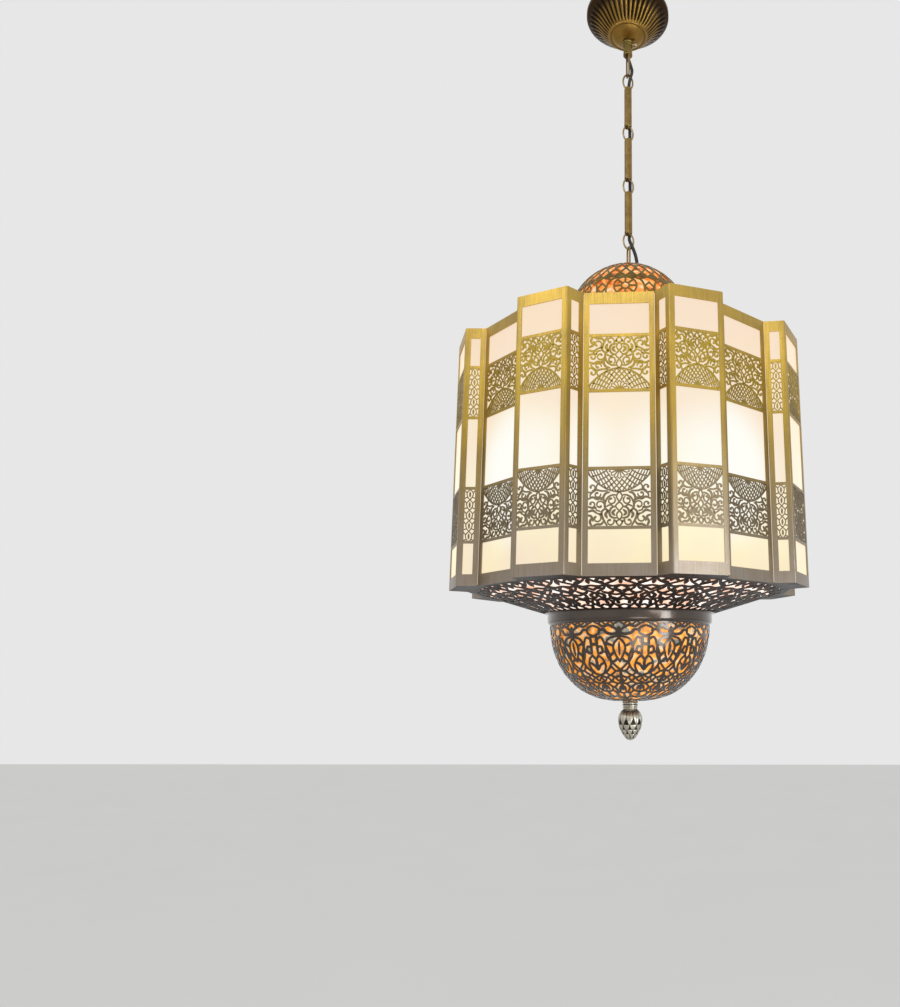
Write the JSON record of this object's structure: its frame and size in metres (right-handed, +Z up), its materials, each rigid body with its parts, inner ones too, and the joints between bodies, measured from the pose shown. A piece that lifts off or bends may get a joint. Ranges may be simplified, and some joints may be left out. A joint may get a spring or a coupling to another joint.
{
  "type": "lantern chandelier",
  "caption": "Pierced brass lantern chandelier: a pleated drum of lit opal panes between pierced cones, a dome and a bowl, hung on a chain from a fluted ceiling canopy.",
  "frame": {"origin": "centre of the ceiling bracket's upper face, where it lies on the ceiling", "axes": "+Z up; -Y is the front, square to one of the recessed faces"},
  "size_m": [0.4406, 0.4406, 1.054],
  "materials": {
    "antique_brass": "brushed satin, antique brass",
    "chain_brass": "satin antique brass",
    "dark_bronze": "dark bronzed",
    "opal_pane": "white opal, lit from inside",
    "amber_lining": "translucent amber",
    "black_flex": "matt black flex",
    "zinc_steel": "zinc plated",
    "lamp_glass": "frosted warm white lamp"
  },
  "bodies": {
    "ceiling": {"ceiling_bracket": "zinc_steel", "canopy": "antique_brass", "canopy_collar": "antique_brass", "hook_loop": "chain_brass", "power_cord": "black_flex"},
    "ring_1": {"chain_ring_1": "chain_brass"},
    "ring_2": {"chain_ring_2": "chain_brass"},
    "ring_3": {"chain_ring_3": "chain_brass"},
    "ring_4": {"chain_ring_4": "chain_brass"},
    "tube_1": {"tube_link_1": "chain_brass"},
    "tube_2": {"tube_link_2": "chain_brass"},
    "tube_3": {"tube_link_3": "chain_brass"},
    "lantern": {"lamp_loop": "chain_brass", "dome": "antique_brass", "dome_liner": "amber_lining", "roof_cone": "dark_bronze", "roof_plate": "antique_brass", "recessed_panel_1": "antique_brass", "box_panel_1": "antique_brass", "flat_pane_1": "opal_pane", "folded_pane_1": "opal_pane", "recessed_panel_2": "antique_brass", "box_panel_2": "antique_brass", "flat_pane_2": "opal_pane", "folded_pane_2": "opal_pane", "recessed_panel_3": "antique_brass", "box_panel_3": "antique_brass", "flat_pane_3": "opal_pane", "folded_pane_3": "opal_pane", "recessed_panel_4": "antique_brass", "box_panel_4": "antique_brass", "flat_pane_4": "opal_pane", "folded_pane_4": "opal_pane", "recessed_panel_5": "antique_brass", "box_panel_5": "antique_brass", "flat_pane_5": "opal_pane", "folded_pane_5": "opal_pane", "recessed_panel_6": "antique_brass", "box_panel_6": "antique_brass", "flat_pane_6": "opal_pane", "folded_pane_6": "opal_pane", "recessed_panel_7": "antique_brass", "box_panel_7": "antique_brass", "flat_pane_7": "opal_pane", "folded_pane_7": "opal_pane", "recessed_panel_8": "antique_brass", "box_panel_8": "antique_brass", "flat_pane_8": "opal_pane", "folded_pane_8": "opal_pane", "floor_plate": "antique_brass", "funnel": "dark_bronze", "bowl": "dark_bronze", "bowl_liner": "amber_lining", "spindle": "zinc_steel", "lamp_spider": "zinc_steel", "bulb_1": "lamp_glass", "bulb_2": "lamp_glass", "bulb_3": "lamp_glass"},
    "finial": {"finial": "antique_brass"},
    "set_screw": {"canopy_set_screw": "antique_brass"}
  },
  "joints": [
    {"name": "ring_1_swing", "type": "hinge", "parent": "ceiling", "child": "ring_1", "pos_m": [0, 0, -0.1062], "axis": [-0.342, 0.9397, 0], "range_deg": [-15, 15], "deforming": ["power_cord"]},
    {"name": "tube_1_swing", "type": "hinge", "parent": "ring_1", "child": "tube_1", "pos_m": [0, 0, -0.128], "axis": [0.9397, 0.342, 0], "range_deg": [-15, 15], "deforming": ["power_cord"]},
    {"name": "ring_2_swing", "type": "hinge", "parent": "tube_1", "child": "ring_2", "pos_m": [0, 0, -0.1923], "axis": [-0.342, 0.9397, 0], "range_deg": [-15, 15], "deforming": ["power_cord"]},
    {"name": "tube_2_swing", "type": "hinge", "parent": "ring_2", "child": "tube_2", "pos_m": [0, 0, -0.2141], "axis": [0.9397, 0.342, 0], "range_deg": [-15, 15], "deforming": ["power_cord"]},
    {"name": "ring_3_swing", "type": "hinge", "parent": "tube_2", "child": "ring_3", "pos_m": [0, 0, -0.2784], "axis": [-0.342, 0.9397, 0], "range_deg": [-15, 15], "deforming": ["power_cord"]},
    {"name": "tube_3_swing", "type": "hinge", "parent": "ring_3", "child": "tube_3", "pos_m": [0, 0, -0.3002], "axis": [0.9397, 0.342, 0], "range_deg": [-15, 15], "deforming": ["power_cord"]},
    {"name": "ring_4_swing", "type": "hinge", "parent": "tube_3", "child": "ring_4", "pos_m": [0, 0, -0.3645], "axis": [-0.342, 0.9397, 0], "range_deg": [-15, 15], "deforming": ["power_cord"]},
    {"name": "lantern_swing", "type": "hinge", "parent": "ring_4", "child": "lantern", "pos_m": [0, 0, -0.3863], "axis": [0.9397, 0.342, 0], "range_deg": [-15, 15], "deforming": ["power_cord"]},
    {"name": "finial_turn", "type": "hinge", "parent": "lantern", "child": "finial", "pos_m": [0, 0, -1.0067], "axis": [0, 0, 1], "continuous": true},
    {"name": "set_screw_turn", "type": "hinge", "parent": "ceiling", "child": "set_screw", "pos_m": [0.0066, 0, -0.0519], "axis": [1, 0, 0], "continuous": true}
  ]
}
